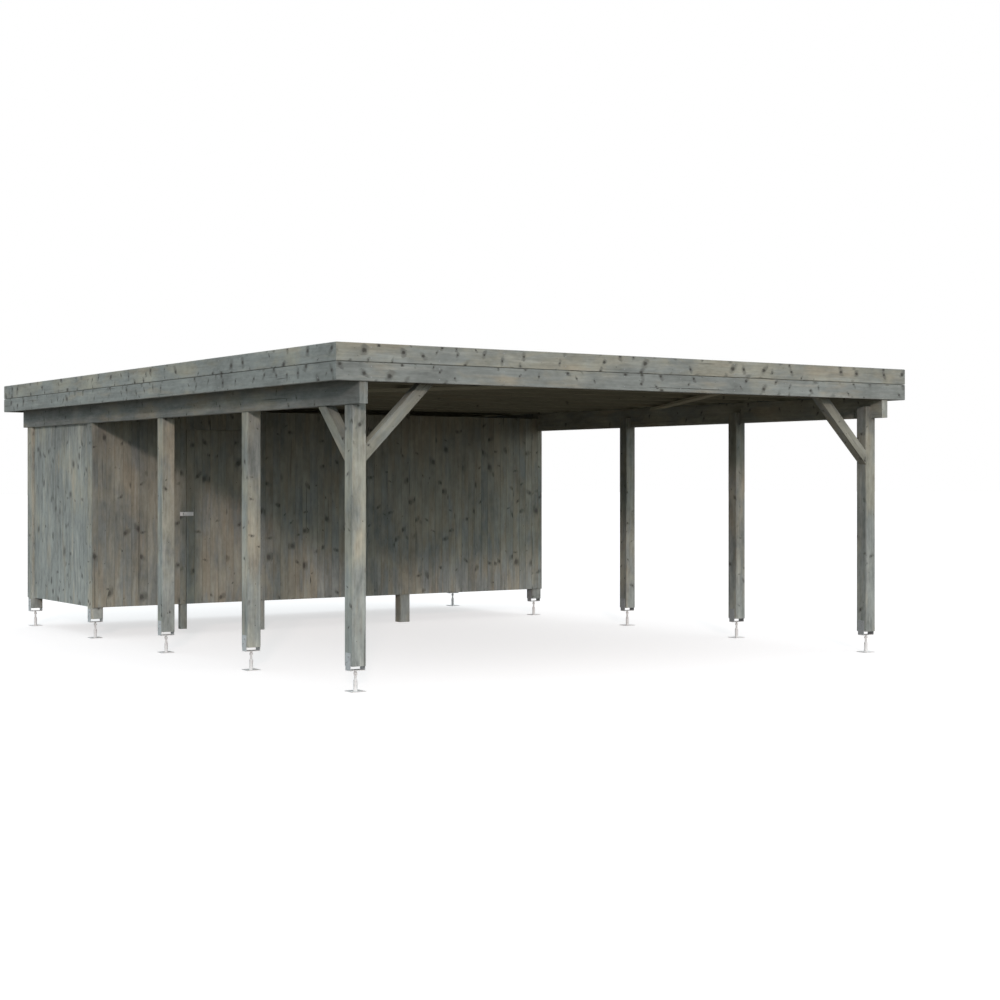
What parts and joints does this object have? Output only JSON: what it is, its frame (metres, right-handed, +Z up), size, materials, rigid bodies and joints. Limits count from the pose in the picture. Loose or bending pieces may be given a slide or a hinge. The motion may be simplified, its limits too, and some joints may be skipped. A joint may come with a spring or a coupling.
{
  "type": "timber carport",
  "caption": "Flat-roofed double carport of weathered timber on adjustable steel feet, with corner braces and a boarded storage room with a hinged door across its last bay.",
  "frame": {"origin": "on the ground under the middle of the roof", "axes": "+X to the right along the front, +Y from the front to the storage room, +Z up"},
  "size_m": [5.96, 7.56, 2.615],
  "materials": {
    "frame_timber": "planed, weathered grey-green",
    "fascia_timber": "planed, weathered grey-green",
    "wall_boards": "planed, weathered grey-green",
    "roof_boards": "sawn, matt",
    "roof_covering": "mineral felt, matt",
    "galvanised_steel": "zinc coated"
  },
  "bodies": {
    "frame": {"post_left_1": "frame_timber", "post_left_2": "frame_timber", "post_left_3": "frame_timber", "post_left_4": "frame_timber", "post_left_5": "frame_timber", "post_right_1": "frame_timber", "post_right_2": "frame_timber", "post_right_3": "frame_timber", "post_right_4": "frame_timber", "post_right_5": "frame_timber", "beam_left": "frame_timber", "beam_right": "frame_timber", "rafters": "frame_timber", "brace_front_left": "frame_timber", "brace_front_right": "frame_timber", "brace_side_left": "frame_timber", "brace_side_right": "frame_timber", "roof_braces": "frame_timber", "hinge_post": "frame_timber", "front_wall_post": "frame_timber", "back_wall_posts": "frame_timber", "door_jamb": "frame_timber", "front_wall_rails": "frame_timber", "left_wall_rails": "frame_timber", "right_wall_rails": "frame_timber", "back_wall_rails": "frame_timber", "fascia_front": "fascia_timber", "fascia_back": "fascia_timber", "fascia_left": "fascia_timber", "fascia_right": "fascia_timber", "front_wall_left": "wall_boards", "front_wall_right": "wall_boards", "front_wall_over_door": "wall_boards", "left_wall": "wall_boards", "right_wall": "wall_boards", "back_wall": "wall_boards", "roof_boards": "roof_boards", "roof_covering": "roof_covering", "feet_left": "galvanised_steel", "feet_right": "galvanised_steel", "frame_hinges": "galvanised_steel", "latch_staple": "galvanised_steel"},
    "door": {"door_boards": "wall_boards", "door_ledges": "wall_boards", "door_hinges": "galvanised_steel", "door_hasp": "galvanised_steel"}
  },
  "joints": [
    {"name": "door_swing", "type": "hinge", "parent": "frame", "child": "door", "pos_m": [-0.94, 1.71, 1.209], "axis": [0, 0, 1], "range_deg": [0, 170]}
  ]
}
